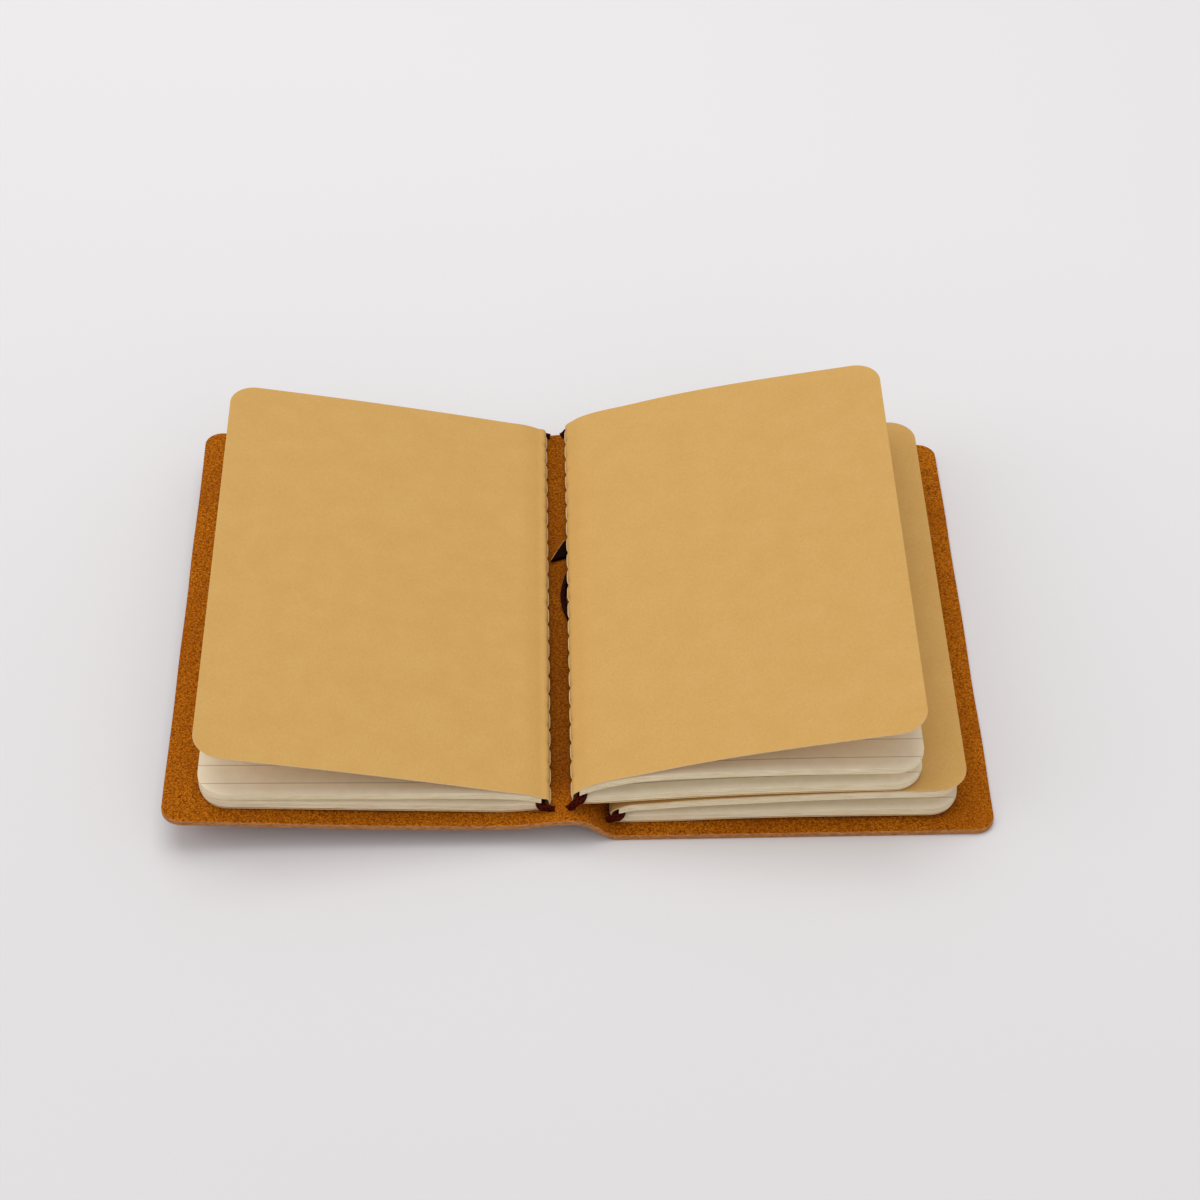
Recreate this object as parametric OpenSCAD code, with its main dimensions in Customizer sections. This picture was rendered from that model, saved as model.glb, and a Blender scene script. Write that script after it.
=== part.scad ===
// Open pocket notebook: one folded leather cover, three kraft booklets on elastics, and two ends of the closure.
// X runs to the right, Y to the back, Z up. The table is Z = 0 and the leather's front edge is Y = 0.

/* [Leather cover] */
// Thickness of the leather
leather_thickness = 1.6; // [1:0.1:2.4]
// How far the leather stands out in front of the booklets
front_margin = 4.4; // [2.5:0.1:8]
// How far the leather stands out behind the booklets
back_margin = 2; // [1.9:0.1:8]
// How far the left wing stands out past its booklet
left_margin = 7.8; // [3:0.1:16]
// How far the right wing stands out past its lower booklet
right_margin = 7.7; // [3:0.1:16]
// Height of the left wing's outer edge over the table
left_lift = 8.8; // [5:0.1:14]
// Lowest height of the underside beside the hump
dip_height = 4.7; // [3:0.1:6]
// Height of the underside at the top of the hump
hump_height = 6.2; // [5.4:0.1:8]
// Radius of the leather's corners
leather_corner = 5; // [2:0.5:10]
// Distance from the middle to the fold on the right of the spine
right_fold = 8.4; // [6:0.1:9]
// Distance from the middle to the fold on the left of the spine
left_fold = 17.8; // [16:0.2:22]

/* [Booklets] */
// Width of a booklet from its fold to its outer edge
booklet_width = 90; // [80:0.5:110]
// Length of a booklet along its fold
booklet_length = 140; // [110:1:220]
// Radius of a booklet's two outer corners
booklet_corner = 7.5; // [3:0.5:12]
// Thickness of the kraft covers
kraft_thickness = 0.3; // [0.2:0.05:0.6]
// Thickness of half of a booklet's leaves
half_block = 2.05; // [1.2:0.05:3]
// Share of that thickness that is left where the leaves bend at the fold
fold_share = 0.65; // [0.5:0.05:1]
// How far a cover stands past the leaves
cover_overhang = 0.6; // [0:0.1:1.5]
// Distance from the middle to the left booklet's fold
left_spine = 3.2; // [3:0.1:5]
// Distance from the middle to the upper right booklet's fold
upper_spine = 3; // [2.6:0.1:5]
// Distance from the middle to the lower right booklet's fold
lower_spine = 12.8; // [11:0.1:16]
// Length of cover that bends over the leaves beside the fold, before the crease
shoulder = 17; // [12:0.5:20]
// Width of the crease strip
crease = 2; // [1:0.5:4]
// Height of the left booklet's top cover at its outer edge
left_cover_height = 30; // [22:0.5:40]
// Height of the upper right booklet's top cover at its outer edge
upper_cover_height = 35; // [28:0.5:42]

/* [Sewing] */
// Number of stitches along a fold
stitches = 22; // [8:1:36]
// Diameter of the sewing thread
thread = 0.5; // [0.3:0.05:0.8]
// Share of a stitch's pitch that the thread shows
stitch_share = 0.62; // [0.3:0.02:0.8]

/* [Elastics and closure] */
// Diameter of the elastic that holds a booklet
elastic = 1.7; // [1.2:0.1:2]
// Diameter of the closure cord
cord = 1.5; // [1:0.1:1.6]
// Distance from the leather's front edge to the place where the cord and the strap meet
closure_position = 91; // [60:1:110]
// Width of the flat strap end
strap_width = 4.2; // [3:0.1:4.6]
// Length of the flat strap end
strap_length = 8.5; // [6:0.5:9]
// Thickness of the flat strap end
strap_thickness = 1.1; // [0.8:0.1:1.2]

/* [Hidden] */
$fn = 48;

kraft_colour = [0.80, 0.63, 0.37];
leather_colour = [0.62, 0.33, 0.10];
paper_colour = [0.90, 0.86, 0.76];
thread_colour = [0.86, 0.76, 0.52];
elastic_colour = [0.24, 0.05, 0.04];

// clearance between faces that lie on each other, and between bodies that turn
touch = 0.05;
clear = 0.15;
cover_length = front_margin + booklet_length + back_margin;
left_reach = left_spine + booklet_width + left_margin;
right_reach = lower_spine + booklet_width + right_margin;
y_low = front_margin;
y_high = front_margin + booklet_length;

// underside of the leather, left to right: straight wings with a hump between them
under = [[-left_reach, left_lift], [-15, dip_height], [-7, dip_height + 0.5], [-2, hump_height - 0.3], [2.8, hump_height],
  [5.8, hump_height - 0.8], [8.5, 3.4], [11, 1.3], [12.6, 0.3], [13.8, 0], [right_reach, 0]];

// a line moved sideways by d, up for a line that runs to the right
function ends(line, i) = line[min(i + 1, len(line) - 1)] - line[max(i - 1, 0)];
function shifted(line, d) = [for (i = [0 : len(line) - 1]) line[i] + d * [-ends(line, i)[1], ends(line, i)[0]] / norm(ends(line, i))];
function back(line) = [for (i = [len(line) - 1 : -1 : 0]) line[i]];
function raised(line, d) = [for (p = line) [p[0], p[1] + d]];
function turned(line) = [for (p = line) [-p[0], p[1]]];
function part_of(line, a, b) = concat([[a, lookup(a, line)]], [for (p = line) if (p[0] > a + 0.01 && p[0] < b - 0.01) p], [[b, lookup(b, line)]]);

leather_top = shifted(under, leather_thickness);

// a line that stands over another one, at distances from a fold: [distance, rise]
function over(base, fold, rises) = [for (r = rises) [fold + r[0], lookup(fold + r[0], base) + r[1]]];
// the leaves are a little thinner where they bend at the fold
function thick(u) = half_block * lookup(u, [[0, fold_share], [3, 1]]);
function leaves_top(line, fold) = [for (p = line) [p[0], p[1] + thick(p[0] - fold)]];
function above_leaves(line, fold, rises) = over(leaves_top(line, fold), fold, rises);
// a raised cover: from the crease to its outer edge, with the share of the rise at shares of the way
function raised_cover(crease_at, edge, bend) = [for (p = bend) [crease_at[0] + p[0] * (edge[0] - crease_at[0]), crease_at[1] + p[1] * (edge[1] - crease_at[1])]];

packed = kraft_thickness + 2 * touch;
cover_edge = booklet_width - 1.6;

// left booklet, as if it lay on the right
left_base = back(turned(leather_top));
left_under = over(left_base, left_spine, [[0, 0.2], [5.8, 0.3], [11.8, 0.3], [20.8, 0.3], [booklet_width, 0.2]]);
left_lower = raised(left_under, packed);
left_upper = above_leaves(left_lower, left_spine, [[0.3, clear], [1.5, 0.3], [3.3, 0.6], [5.8, 1.3], [9.7, 2.1], [15.4, 2.5], [37, 1.9], [67, 1.1], [booklet_width, 0.4]]);
left_crease = shoulder - 7;
left_shoulder = above_leaves(left_upper, left_spine, [[0.2, 0.1], [1.5, 0.15], [3.3, 0.2], [5.8, 0.35], [left_crease, 0.65]]);
left_cover = concat(left_shoulder, raised_cover(left_shoulder[4], [left_spine + cover_edge, left_cover_height], [[0.19, 0.21], [0.53, 0.56], [1, 1]]));

// lower right booklet
lower_under = over(leather_top, lower_spine, [[0, 0.35], [2.2, 0.4], [4.2, 0.25], [6.2, 0.25], [15.2, 0.4], [35, 1], [54, 1.2], [booklet_width, 1]]);
lower_lower = raised(lower_under, packed);
lower_upper = above_leaves(lower_lower, lower_spine, [[0.3, clear + 0.2], [2.7, 1.25], [5.2, 1.9], [12, 2.35], [17, 2.8], [35, 3.3], [54, 3.95], [72, 4.5], [booklet_width, 4.5]]);
lower_cover = above_leaves(lower_upper, lower_spine, [[0.2, 0.1], [2.7, 0.1], [5.2, 0.1], [12, 0.1], [shoulder, 0.1], [35, 0.15], [54, 0.15], [72, 0.2], [82, 0.4], [booklet_width + 0.4, 0.8]]);

// upper right booklet: its fold stands over the hump and its outer part lies on the lower booklet
fold_height = max(hump_height + leather_thickness + 1.8, lower_cover[0][1] + 1);
upper_under = concat([[upper_spine, fold_height], [upper_spine + 4, fold_height - 0.2], [upper_spine + 10.5, fold_height + 0.05]],
  over(lower_cover, upper_spine, [[21, 1.6], [45, 1.2], [64, 0.9], [booklet_width, 0.7]]));
upper_lower = raised(upper_under, packed);
upper_upper = above_leaves(upper_lower, upper_spine, [[0.3, clear], [1.6, 0.85], [3.7, 1.7], [6.6, 2.8], [10.6, 3.85], [15.5, 4.6], [21, 4.9], [27, 5], [45, 4.6], [64, 4.3], [booklet_width, 3.75]]);
upper_shoulder = above_leaves(upper_upper, upper_spine, [[0.2, 0.1], [1.6, 0.1], [3.7, 0.15], [6.6, 0.2], [10.6, 0.3], [shoulder, 0.7]]);
upper_cover = concat(upper_shoulder, raised_cover(upper_shoulder[5], [upper_spine + cover_edge, upper_cover_height], [[0.11, 0.15], [0.24, 0.31], [0.38, 0.46], [0.56, 0.63], [0.77, 0.81], [1, 1]]));

// a slab between a lower and an upper line, from y0 to y1
module slab(low, high, y0, y1) {
  translate([0, y1, 0]) rotate([90, 0, 0]) linear_extrude(y1 - y0) polygon(concat(low, back(high)));
}

// a plate seen from above, square at x0 and with round corners at x1, on the right or the left
module outline(x0, x1, y0, y1, r) {
  a = min(x0, x1);
  b = max(x0, x1);
  s = x1 > x0 ? 1 : -1;
  translate([0, 0, -5]) linear_extrude(60) union() {
    translate([a - (s < 0 ? 0 : 1), y0 + r]) square([b - a + 1, y1 - y0 - 2 * r]);
    translate([s > 0 ? a - 1 : a + r, y0]) square([b - a - r + 1, y1 - y0]);
    for (y = [y0 + r, y1 - r]) translate([x1 - s * r, y]) circle(r);
  }
}

// a strip of sheet on a line between two distances from the middle
module sheet(line, thickness, a, b, y0, y1) {
  cut = part_of(line, a, b);
  slab(cut, shifted(cut, thickness), y0, y1);
}

// a sheet that ends in two round corners
module leaf(line, thickness, a, b, y0, y1, r) {
  intersection() {
    sheet(line, thickness, a, b, y0, y1);
    outline(a, b, y0, y1, r);
  }
}

// half of a booklet's leaves
module leaves(line, fold) {
  low = part_of(line, line[0][0] + touch, fold + booklet_width - cover_overhang);
  intersection() {
    slab(low, leaves_top(low, fold), y_low, y_high);
    outline(low[0][0], fold + booklet_width - cover_overhang, y_low, y_high, booklet_corner);
  }
}

// the kraft that stands round the fold, from the lower face up to a height
module fold(x, low, high) {
  translate([x - kraft_thickness, y_low, low]) cube([kraft_thickness - touch, booklet_length, high - low]);
}

// one row of stitches along the outside of a fold
module stitch_row(spine, z) {
  pitch = booklet_length / stitches;
  for (i = [0 : stitches - 1])
    translate([spine - kraft_thickness - thread / 2 - touch, y_low + (i + 0.5 - stitch_share / 2) * pitch, z])
      rotate([-90, 0, 0]) cylinder(d = thread, h = pitch * stitch_share, $fn = 16);
}

// a round band swept along a route of points
module swept(route, d) {
  n = 10;
  steps = len(route);
  along = [for (i = [0 : steps - 1]) let (t = route[min(i + 1, steps - 1)] - route[max(i - 1, 0)]) t / norm(t)];
  side = [for (t = along) let (s = cross(t, abs(t[2]) > 0.8 ? [0, 1, 0] : [0, 0, 1])) s / norm(s)];
  points = [for (i = [0 : steps - 1]) for (k = [0 : n - 1]) let (up = cross(side[i], along[i])) route[i] + d / 2 * (cos(360 * k / n) * side[i] + sin(360 * k / n) * up)];
  polyhedron(points, concat([[for (k = [0 : n - 1]) n - 1 - k]],
    [for (i = [0 : steps - 2]) for (k = [0 : n - 1]) [i * n + k, i * n + (k + 1) % n, (i + 1) * n + (k + 1) % n, (i + 1) * n + k]],
    [[for (k = [0 : n - 1]) (steps - 1) * n + k]]));
}

// one end of a booklet's elastic: out of the centre spread, round the lower leaves and down to a height low;
// reach is how far it leans towards the gap, end is the booklet's end, way is 1 at the back and -1 at the front
function elastic_end(x, z, low, reach, end, way) = let (out = end + way * (elastic / 2 + 2 * touch)) [
  [x, end - way * 3, z], [x - 0.05 * reach, end - way * 0.3, z], [x - 0.2 * reach, out - way * 0.2, z - 0.1 * (z - low)],
  [x - 0.5 * reach, out, z - 0.4 * (z - low)], [x - 0.8 * reach, out, low + 0.15 * (z - low)], [x - reach, out, low]];

// the whole elastic of a booklet, or with some play the groove that it lies in
module band(x, z, low, reach, play = 0) {
  swept(concat(back(elastic_end(x, z, low, reach, y_low, -1)), elastic_end(x, z, low, reach, y_high, 1)), elastic + play);
}
module left_band(play = 0) band(left_spine + 2.4, left_upper[1][1] - elastic * 0.55, lookup(left_spine - 1.4, left_base) + elastic / 2 + touch, 3.8, play);
module upper_band(play = 0) band(upper_spine + 2.4, upper_upper[1][1] - elastic * 0.7, fold_height - 0.3, 1.2, play);
module lower_band(play = 0) band(lower_spine + 2.4, lower_upper[1][1] - elastic * 0.7, lookup(lower_spine - 1.4, leather_top) + elastic / 2 + touch, 3.8, play);

module leather_all() {
  intersection() {
    slab(under, leather_top, 0, cover_length);
    translate([0, 0, -5]) linear_extrude(60) union() {
      translate([-left_reach, leather_corner]) square([left_reach + right_reach, cover_length - 2 * leather_corner]);
      translate([-left_reach + leather_corner, 0]) square([left_reach + right_reach - 2 * leather_corner, cover_length]);
      for (x = [-left_reach + leather_corner, right_reach - leather_corner], y = [leather_corner, cover_length - leather_corner]) translate([x, y]) circle(leather_corner);
    }
  }
}

// the origin is on the table under the middle of the leather
module place() translate([(left_reach - right_reach) / 2, -cover_length / 2, 0]) children();

module between(a, b) {
  intersection() {
    leather_all();
    translate([a, -1, -5]) cube([b - a, cover_length + 2, 60]);
  }
}

module leather_back_wing() color(leather_colour) place() between(right_fold + touch, right_reach + 1);
module leather_spine() color(leather_colour) place() between(-left_fold + touch, right_fold - touch);
module leather_front_wing() color(leather_colour) place() between(-left_reach - 1, -left_fold - touch);

// a back cover with the part of the kraft that turns up round the fold
module back_cover(under_line, upper_line, spine) {
  leaf(under_line, kraft_thickness, spine - kraft_thickness, spine + booklet_width, y_low, y_high, booklet_corner);
  fold(spine, under_line[0][1] + touch, upper_line[0][1] + touch);
}

// the part of a top cover that stays bent over the leaves, from the fold to the crease strip
module cover_shoulder(upper_line, cover_line, spine, reach) {
  sheet(cover_line, kraft_thickness, spine - kraft_thickness, spine + reach, y_low, y_high);
  fold(spine, upper_line[0][1] + touch + clear, cover_line[0][1] + touch);
}

// the loose part of a top cover, beyond the crease line
module loose_cover(cover_line, from, to) {
  leaf(cover_line, kraft_thickness, from + touch, to, y_low, y_high, booklet_corner);
}

module cover_crease(cover_line, at) {
  sheet(cover_line, kraft_thickness, at - crease + touch, at - touch, y_low, y_high);
}

// the left booklet is built to the right and then turned over to the left
module flip() mirror([1, 0, 0]) children();

module left_back_cover() color(kraft_colour) place() flip() back_cover(left_under, left_upper, left_spine);
module left_lower_leaves() color(paper_colour) place() flip() difference() {
  leaves(left_lower, left_spine);
  left_band(4 * touch);
}
module left_upper_leaves() color(paper_colour) place() flip() leaves(left_upper, left_spine);
module left_cover_shoulder() color(kraft_colour) place() flip() cover_shoulder(left_upper, left_cover, left_spine, left_crease - crease);
module left_cover_crease() color(kraft_colour) place() flip() cover_crease(left_cover, left_spine + left_crease);
module left_front_cover() color(kraft_colour) place() flip() loose_cover(left_cover, left_spine + left_crease, left_spine + cover_edge);
module left_thread() color(thread_colour) place() flip() stitch_row(left_spine, left_upper[0][1] - thread);
module left_elastic() color(elastic_colour) place() flip() left_band();

module upper_back_cover() color(kraft_colour) place() back_cover(upper_under, upper_upper, upper_spine);
module upper_lower_leaves() color(paper_colour) place() difference() {
  leaves(upper_lower, upper_spine);
  upper_band(4 * touch);
}
module upper_upper_leaves() color(paper_colour) place() leaves(upper_upper, upper_spine);
module upper_cover_shoulder() color(kraft_colour) place() cover_shoulder(upper_upper, upper_cover, upper_spine, shoulder - crease);
module upper_cover_crease() color(kraft_colour) place() cover_crease(upper_cover, upper_spine + shoulder);
module upper_front_cover() color(kraft_colour) place() loose_cover(upper_cover, upper_spine + shoulder, upper_spine + cover_edge);
module upper_thread() color(thread_colour) place() stitch_row(upper_spine, upper_upper[0][1] - thread);
module upper_elastic() color(elastic_colour) place() upper_band();

module lower_back_cover() color(kraft_colour) place() back_cover(lower_under, lower_upper, lower_spine);
module lower_lower_leaves() color(paper_colour) place() difference() {
  leaves(lower_lower, lower_spine);
  lower_band(4 * touch);
}
module lower_upper_leaves() color(paper_colour) place() leaves(lower_upper, lower_spine);
module lower_cover_shoulder() color(kraft_colour) place() cover_shoulder(lower_upper, lower_cover, lower_spine, shoulder - touch);
module lower_front_cover() color(kraft_colour) place() loose_cover(lower_cover, lower_spine + shoulder, lower_spine + booklet_width + 0.4);
module lower_thread() color(thread_colour) place() stitch_row(lower_spine, lower_upper[0][1] - thread);
module lower_elastic() color(elastic_colour) place() lower_band();

// closure: the flat end of a strap and a bent end of cord lie on the hump, in the gap between the booklets
seat = hump_height + leather_thickness + touch;
module closure_strap_end() color(elastic_colour) place() translate([-0.1, closure_position + 1.3, seat]) rotate([0, 0, 64]) translate([0, -strap_width / 2, 0]) cube([strap_length, strap_width, strap_thickness]);
module closure_cord_end() color(elastic_colour) place() swept([for (i = [0 : 14]) [3.2 - 1.9 * sin(180 * i / 14), closure_position - 2.2 - 19 * i / 14, seat + cord / 2]], cord);

leather_back_wing();
leather_spine();
leather_front_wing();
left_back_cover();
left_lower_leaves();
left_upper_leaves();
left_cover_shoulder();
left_cover_crease();
left_front_cover();
left_thread();
left_elastic();
upper_back_cover();
upper_lower_leaves();
upper_upper_leaves();
upper_cover_shoulder();
upper_cover_crease();
upper_front_cover();
upper_thread();
upper_elastic();
lower_back_cover();
lower_lower_leaves();
lower_upper_leaves();
lower_cover_shoulder();
lower_front_cover();
lower_thread();
lower_elastic();
closure_strap_end();
closure_cord_end();
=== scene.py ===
# %% [markdown]
# # An open pocket notebook
# A folded leather cover lies open and holds three thin kraft booklets on elastics. The steps below load
# the measured model, then build each piece as a smooth surface in its place: the camera and the studio,
# the leather, the kraft covers, the leaves, the sewing, the elastics and the two ends of the closure.

# %% Load the frame
import math
import bpy
import numpy as np
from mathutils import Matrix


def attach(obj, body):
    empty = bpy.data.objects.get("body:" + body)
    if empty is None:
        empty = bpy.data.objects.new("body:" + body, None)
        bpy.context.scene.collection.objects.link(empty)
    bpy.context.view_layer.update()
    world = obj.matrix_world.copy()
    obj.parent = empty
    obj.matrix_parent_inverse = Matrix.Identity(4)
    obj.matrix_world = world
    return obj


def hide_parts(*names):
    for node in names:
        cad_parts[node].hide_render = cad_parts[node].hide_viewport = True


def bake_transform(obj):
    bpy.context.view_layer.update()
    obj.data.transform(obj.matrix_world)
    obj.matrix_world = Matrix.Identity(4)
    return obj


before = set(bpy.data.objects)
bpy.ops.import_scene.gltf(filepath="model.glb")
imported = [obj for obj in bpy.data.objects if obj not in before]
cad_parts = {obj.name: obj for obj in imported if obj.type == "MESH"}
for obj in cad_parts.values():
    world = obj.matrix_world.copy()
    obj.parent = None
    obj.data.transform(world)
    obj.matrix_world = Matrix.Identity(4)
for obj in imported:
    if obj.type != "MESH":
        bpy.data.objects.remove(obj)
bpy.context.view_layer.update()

# %% [markdown]
# ## One ruler for everything
# The model's source counts in millimetres from the middle of the spine gap (X) and the leather's front
# edge (Y), while the frame counts in metres from the middle of the leather. Working in the source's
# numbers and converting once, in one function, keeps every shape below comparable with the source.

# %% Sizes shared by all pieces
FRONT, BACK, WIDTH, LENGTH = 4.4, 2.0, 90.0, 140.0          # leather margins and booklet size
COVER_LENGTH = FRONT + LENGTH + BACK
LEFT_REACH, RIGHT_REACH = 101.0, 110.5                      # the leather's ends, from the middle
LEATHER, KRAFT, HALF, CORNER = 1.6, 0.3, 2.05, 7.5
Y0, Y1 = FRONT, FRONT + LENGTH                              # the booklets' two ends
LEFT, UPPER, LOWER = 3.2, 3.0, 12.8                         # folds, counted from the middle
TOUCH, CLEAR = 0.05, 0.15
HUMP = 6.2                                                  # how high the spine stands over the table


def to_frame(points):
    """Millimetres of the source to metres of the frame: shift to the leather's middle, divide by 1000."""
    shift = np.array([(LEFT_REACH - RIGHT_REACH) / 2, -COVER_LENGTH / 2, 0.0])
    return (np.asarray(points, float) + shift) * 0.001


# %% [markdown]
# ## Lines drawn in the X-Z plane
# Every sheet here keeps the same cross-section from front to back, so its shape is a line in X and Z.
# The same few rules as in the source place one line over another: a rise over a base line at chosen
# distances from the fold. A spline then rounds the corners that straight pieces would leave.

# %% Rules for lines
def height(line, x):
    """Height of a line at x, straight between its points."""
    line = np.asarray(line, float)
    return np.interp(x, line[:, 0], line[:, 1])


def normals(line):
    """Left-hand normal at each point: the direction between its neighbours, turned by a quarter."""
    line = np.asarray(line, float)
    step = np.vstack([line[1:2] - line[:1], line[2:] - line[:-2], line[-1:] - line[-2:-1]])
    return np.c_[-step[:, 1], step[:, 0]] / np.linalg.norm(step, axis=1)[:, None]


def shifted(line, d):
    """The line moved sideways by d along its normals."""
    return np.asarray(line, float) + d * normals(line)


def over(base, fold, rises):
    """Points at fold + distance whose height is the base line's plus a rise."""
    r = np.asarray(rises, float)
    return np.c_[fold + r[:, 0], height(base, fold + r[:, 0]) + r[:, 1]]


def thick(u):
    """Thickness of half the leaves at a distance u from the fold: 0.65 of it at the fold, full from 3 mm."""
    return HALF * np.interp(u, [0, 3], [0.65, 1])


def above_leaves(line, fold, rises):
    """The same rule, standing on top of the leaves that rest on the line."""
    line = np.asarray(line, float)
    return over(np.c_[line[:, 0], line[:, 1] + thick(line[:, 0] - fold)], fold, rises)


def raised(line, d):
    """The line lifted by d."""
    return np.asarray(line, float) + [0, d]


def lifted_cover(crease, edge, bend):
    """A cover that springs up: shares of the way from the crease to its outer edge, in X and in Z."""
    return np.asarray(crease) + np.asarray(bend, float) * (np.asarray(edge) - np.asarray(crease))


def smooth(points, step=0.8):
    """A cubic curve through the points, in two or three dimensions. The slope at a point is the harmonic
    mean of the slopes beside it, or level where they have opposite signs, so the curve never overshoots.
    Its points are then spaced evenly along its length."""
    p = np.asarray(points, float)
    t = np.r_[0, np.cumsum(np.linalg.norm(np.diff(p, axis=0), axis=1))]
    gap = np.diff(t)[:, None]
    slope = np.diff(p, axis=0) / gap
    a, b = slope[:-1], slope[1:]
    w1, w2 = 2 * gap[1:] + gap[:-1], gap[1:] + 2 * gap[:-1]
    same = a * b > 1e-12
    mean = (w1 + w2) / (w1 / np.where(same, a, 1) + w2 / np.where(same, b, 1))
    m = np.vstack([slope[:1], np.where(same, mean, 0), slope[-1:]])
    s = np.linspace(0, t[-1], int(t[-1] / 0.08) + 2)
    i = np.clip(np.searchsorted(t, s, side="right") - 1, 0, len(p) - 2)
    h = (t[i + 1] - t[i])[:, None]
    u = (s - t[i])[:, None] / h
    q = ((2 * u**3 - 3 * u**2 + 1) * p[i] + (u**3 - 2 * u**2 + u) * h * m[i]
         + (3 * u**2 - 2 * u**3) * p[i + 1] + (u**3 - u**2) * h * m[i + 1])
    return evenly(q, step)


def evenly(q, step):
    """The same line with its points a fixed step apart, measured along it."""
    d = np.r_[0, np.cumsum(np.linalg.norm(np.diff(q, axis=0), axis=1))]
    w = np.linspace(0, d[-1], max(3, int(round(d[-1] / step)) + 1))
    return np.stack([np.interp(w, d, q[:, k]) for k in range(q.shape[1])], axis=1)


# %% The lines of this notebook
under = np.array([[-LEFT_REACH, 8.8], [-15, 4.7], [-7, 5.2], [-2, 5.9], [2.8, HUMP], [5.8, 5.4], [8.5, 3.4],
                  [11, 1.3], [12.6, 0.3], [13.8, 0], [RIGHT_REACH, 0]])
top = shifted(under, LEATHER)
left_base = (top * [-1, 1])[::-1]
PACKED, EDGE = KRAFT + 2 * TOUCH, WIDTH - 1.6
left_under = over(left_base, LEFT, [[0, 0.2], [5.8, 0.3], [11.8, 0.3], [20.8, 0.3], [WIDTH, 0.2]])
left_lower = raised(left_under, PACKED)
left_upper = above_leaves(left_lower, LEFT, [
    [0.3, CLEAR], [1.5, 0.3], [3.3, 0.6], [5.8, 1.3], [9.7, 2.1], [15.4, 2.5], [37, 1.9], [67, 1.1],
    [WIDTH, 0.4]])
left_shoulder = above_leaves(left_upper, LEFT, [
    [0.2, 0.1], [1.5, 0.15], [3.3, 0.2], [5.8, 0.35], [10, 0.65]])
left_cover = np.vstack([left_shoulder, lifted_cover(left_shoulder[4], [LEFT + EDGE, 30],
                                                    [[0.19, 0.21], [0.53, 0.56], [1, 1]])])
lower_under = over(top, LOWER, [[0, 0.35], [2.2, 0.4], [4.2, 0.25], [6.2, 0.25], [15.2, 0.4], [35, 1],
                                [54, 1.2], [WIDTH, 1]])
lower_lower = raised(lower_under, PACKED)
lower_upper = above_leaves(lower_lower, LOWER, [
    [0.3, CLEAR + 0.2], [2.7, 1.25], [5.2, 1.9], [12, 2.35], [17, 2.8], [35, 3.3], [54, 3.95], [72, 4.5],
    [WIDTH, 4.5]])
lower_cover = above_leaves(lower_upper, LOWER, [
    [0.2, 0.1], [2.7, 0.1], [5.2, 0.1], [12, 0.1], [17, 0.1], [35, 0.15], [54, 0.15], [72, 0.2], [82, 0.4],
    [90.4, 0.8]])
FOLD_HEIGHT = 9.6                                           # the upper booklet's fold, above the table
upper_under = np.vstack([
    [[UPPER, FOLD_HEIGHT], [UPPER + 4, FOLD_HEIGHT - 0.2], [UPPER + 10.5, FOLD_HEIGHT + 0.05]],
    over(lower_cover, UPPER, [[21, 1.6], [45, 1.2], [64, 0.9], [WIDTH, 0.7]])])
upper_lower = raised(upper_under, PACKED)
upper_upper = above_leaves(upper_lower, UPPER, [
    [0.3, CLEAR], [1.6, 0.85], [3.7, 1.7], [6.6, 2.8], [10.6, 3.85], [15.5, 4.6], [21, 4.9], [27, 5],
    [45, 4.6], [64, 4.3], [WIDTH, 3.75]])
upper_shoulder = above_leaves(upper_upper, UPPER, [
    [0.2, 0.1], [1.6, 0.1], [3.7, 0.15], [6.6, 0.2], [10.6, 0.3], [17, 0.7]])
upper_cover = np.vstack([upper_shoulder, lifted_cover(
    upper_shoulder[5], [UPPER + EDGE, 35],
    [[0.11, 0.15], [0.24, 0.31], [0.38, 0.46], [0.56, 0.63], [0.77, 0.81], [1, 1]])])
print("left cover rises to", left_cover[-1, 1], "mm and the upper one to", upper_cover[-1, 1], "mm")

# %% [markdown]
# ## Materials from small nodes
# Leather, card and paper are told apart by fine detail: the nap of the suede side, fibres in the card,
# ruled lines on the leaves. Each finish is a handful of nodes on object coordinates, so the pattern stays
# on the piece when it moves. A helper adds a node, fills its sockets and links what is linkable.

# %% Helpers for node materials
def srgb(r, g, b):
    """A colour given in 0-255 screen values as the linear values that a shader takes."""
    c = np.array([r, g, b]) / 255
    return tuple(np.where(c <= 0.04045, c / 12.92, ((c + 0.055) / 1.055) ** 2.4)) + (1.0,)


def material(name, colour, roughness, **fixed):
    """A material with one principled shader; fixed values are set on the shader's own sockets."""
    m = bpy.data.materials.new(name)
    m.use_nodes = True
    shader = m.node_tree.nodes["Principled BSDF"]
    shader.inputs["Base Color"].default_value = colour
    shader.inputs["Roughness"].default_value = roughness
    for key, value in fixed.items():
        shader.inputs[key.replace("_", " ")].default_value = value
    m.diffuse_color = colour
    return m


def add(m, kind, inputs=(), **props):
    """One node: props are its settings, inputs are (socket, value or output) pairs."""
    n = m.node_tree.nodes.new("ShaderNode" + kind)
    for key, value in props.items():
        setattr(n, key, value)
    for key, value in dict(inputs).items():
        if isinstance(value, bpy.types.NodeSocket):
            m.node_tree.links.new(value, n.inputs[key])
        else:
            n.inputs[key].default_value = value
    return n


def place_of(m, scale=(1, 1, 1), source="Object"):
    """Coordinates on the piece, stretched by scale."""
    coords = add(m, "TexCoord")
    return add(m, "Mapping", [("Vector", coords.outputs[source]), ("Scale", scale)]).outputs["Vector"]


def noise(m, where, scale, detail=4, rough=0.6):
    """Cloudy noise from 0 to 1; its features are about one over scale."""
    return add(m, "TexNoise", [("Vector", where), ("Scale", scale), ("Detail", detail),
                               ("Roughness", rough)]).outputs["Fac"]


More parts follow.
